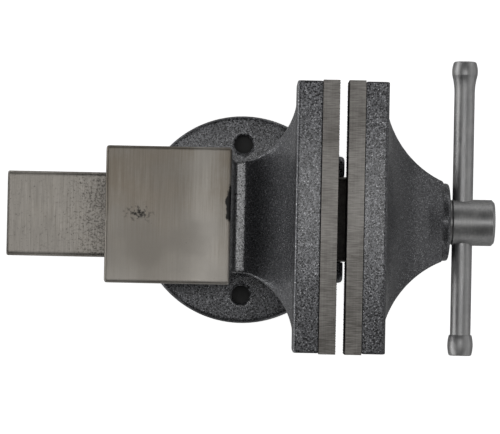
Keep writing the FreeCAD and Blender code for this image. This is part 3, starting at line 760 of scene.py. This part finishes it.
def painted_shade_disc():
    """A dark disc on the floor under the base, which shows through the bench holes as painted shade."""
    solid = bmesh.new()
    bmesh.ops.create_circle(solid, cap_ends=True, segments=96, radius=SHADE_DISC_RADIUS)
    mesh = bpy.data.meshes.new("painted_shade_disc")
    solid.to_mesh(mesh)
    solid.free()
    obj = bpy.data.objects.new("painted_shade_disc", mesh)
    obj.location.z = CAD_LOW[2] - SHADE_DISC_GAP
    bpy.context.scene.collection.objects.link(obj)
    s = Shader("painted_shade_grey")
    # Its grey is painted shade for the bench holes.
    s.set(Base_Color=(SHADE_DISC_GREY, SHADE_DISC_GREY, SHADE_DISC_GREY), Roughness=0.9)
    mesh.materials.append(s.material)


def overhead_panel():
    """A long narrow lamp above the vise, lying along x."""
    data = bpy.data.lights.new("overhead", "AREA")
    data.shape = "RECTANGLE"
    data.size, data.size_y = PANEL_LENGTH, PANEL_WIDTH
    data.energy = PANEL_POWER
    obj = bpy.data.objects.new("overhead", data)
    obj.location = PANEL_PLACE
    obj.rotation_euler = (Vector(PANEL_AIM) - Vector(PANEL_PLACE)).to_track_quat("-Z", "Y").to_euler()
    bpy.context.scene.collection.objects.link(obj)


def world():
    """A dim room, brightest low down on the anvil's side. The camera itself sees plain white."""
    made = bpy.data.worlds.new("studio")
    made.use_nodes = True
    tree = made.node_tree
    tree.nodes.clear()
    link = tree.links.new
    coords = tree.nodes.new("ShaderNodeTexCoord")
    parts = tree.nodes.new("ShaderNodeSeparateXYZ")
    link(coords.outputs["Generated"], parts.inputs[0])

    def side(axis, start, end, top):
        """Glow towards one side: none where the direction's share along the axis is start, top at end."""
        node = tree.nodes.new("ShaderNodeMapRange")
        node.interpolation_type = "SMOOTHSTEP"
        link(parts.outputs[axis], node.inputs[0])
        for socket, number in zip(node.inputs[1:5], (start, end, 0.0, top)):
            socket.default_value = number
        return node.outputs[0]

    def add(a, b):
        node = tree.nodes.new("ShaderNodeMath")
        node.operation = "ADD"
        for socket, value in zip(node.inputs, (a, b)):
            if isinstance(value, float):
                socket.default_value = value
            else:
                link(value, socket)
        return node.outputs[0]

    def kept_low(value, level):
        """A glow that is whole at the horizon and below, and gone where the direction rises to level."""
        node = tree.nodes.new("ShaderNodeMath")
        node.operation = "MULTIPLY"
        link(value, node.inputs[0])
        link(side("Z", level, 0.0, 1.0), node.inputs[1])
        return node.outputs[0]

    glow = add(side("X", 0.2, 0.9, ROOM_RIGHT), ROOM_DARK)
    glow = add(glow, kept_low(side("X", -0.4, -0.95, ROOM_LEFT), 0.75))
    glow = add(glow, kept_low(side("Y", 0.35, 0.95, ROOM_BACK), 0.6))
    glow = add(glow, kept_low(side("Y", -0.35, -0.95, ROOM_NEAR), 0.5))
    room = tree.nodes.new("ShaderNodeBackground")
    link(glow, room.inputs["Strength"])
    plain = tree.nodes.new("ShaderNodeBackground")
    plain.inputs["Strength"].default_value = 1.0
    path = tree.nodes.new("ShaderNodeLightPath")
    mix = tree.nodes.new("ShaderNodeMixShader")
    link(path.outputs["Is Camera Ray"], mix.inputs[0])
    link(room.outputs[0], mix.inputs[1])
    link(plain.outputs[0], mix.inputs[2])
    for node in (room, plain):
        node.inputs["Color"].default_value = (1, 1, 1, 1)
    out = tree.nodes.new("ShaderNodeOutputWorld")
    link(mix.outputs[0], out.inputs["Surface"])
    bpy.context.scene.world = made


FOCAL_IN_WIDTHS = 4.756
CAMERA_HEIGHT = JAW_TOP + 1.3
CAMERA_X, CAMERA_Y = 4.7 * MM, -24.4 * MM
CAMERA_TILT = math.radians(1.036)
CAMERA_ROLL = math.radians(1.15)


def camera():
    """The photograph's view, from high above. Its place and lens were found by matching outlines."""
    data = bpy.data.cameras.new("camera")
    data.sensor_width = 36
    data.lens = data.sensor_width * FOCAL_IN_WIDTHS
    data.clip_start, data.clip_end = 0.1, 50
    obj = bpy.data.objects.new("camera", data)
    forward = Vector((0, math.sin(CAMERA_TILT), -math.cos(CAMERA_TILT)))
    up = Matrix.Rotation(CAMERA_ROLL, 3, "Z") @ Vector((0, 1, 0))
    right = forward.cross(up).normalized()
    up = right.cross(forward).normalized()
    obj.matrix_world = Matrix((
        (right.x, up.x, -forward.x, CAMERA_X),
        (right.y, up.y, -forward.y, CAMERA_Y),
        (right.z, up.z, -forward.z, CAMERA_HEIGHT),
        (0, 0, 0, 1),
    ))
    bpy.context.scene.collection.objects.link(obj)
    bpy.context.scene.camera = obj


floor()
painted_shade_disc()
world()
overhead_panel()
camera()
bpy.context.scene.view_settings.view_transform = "Standard"
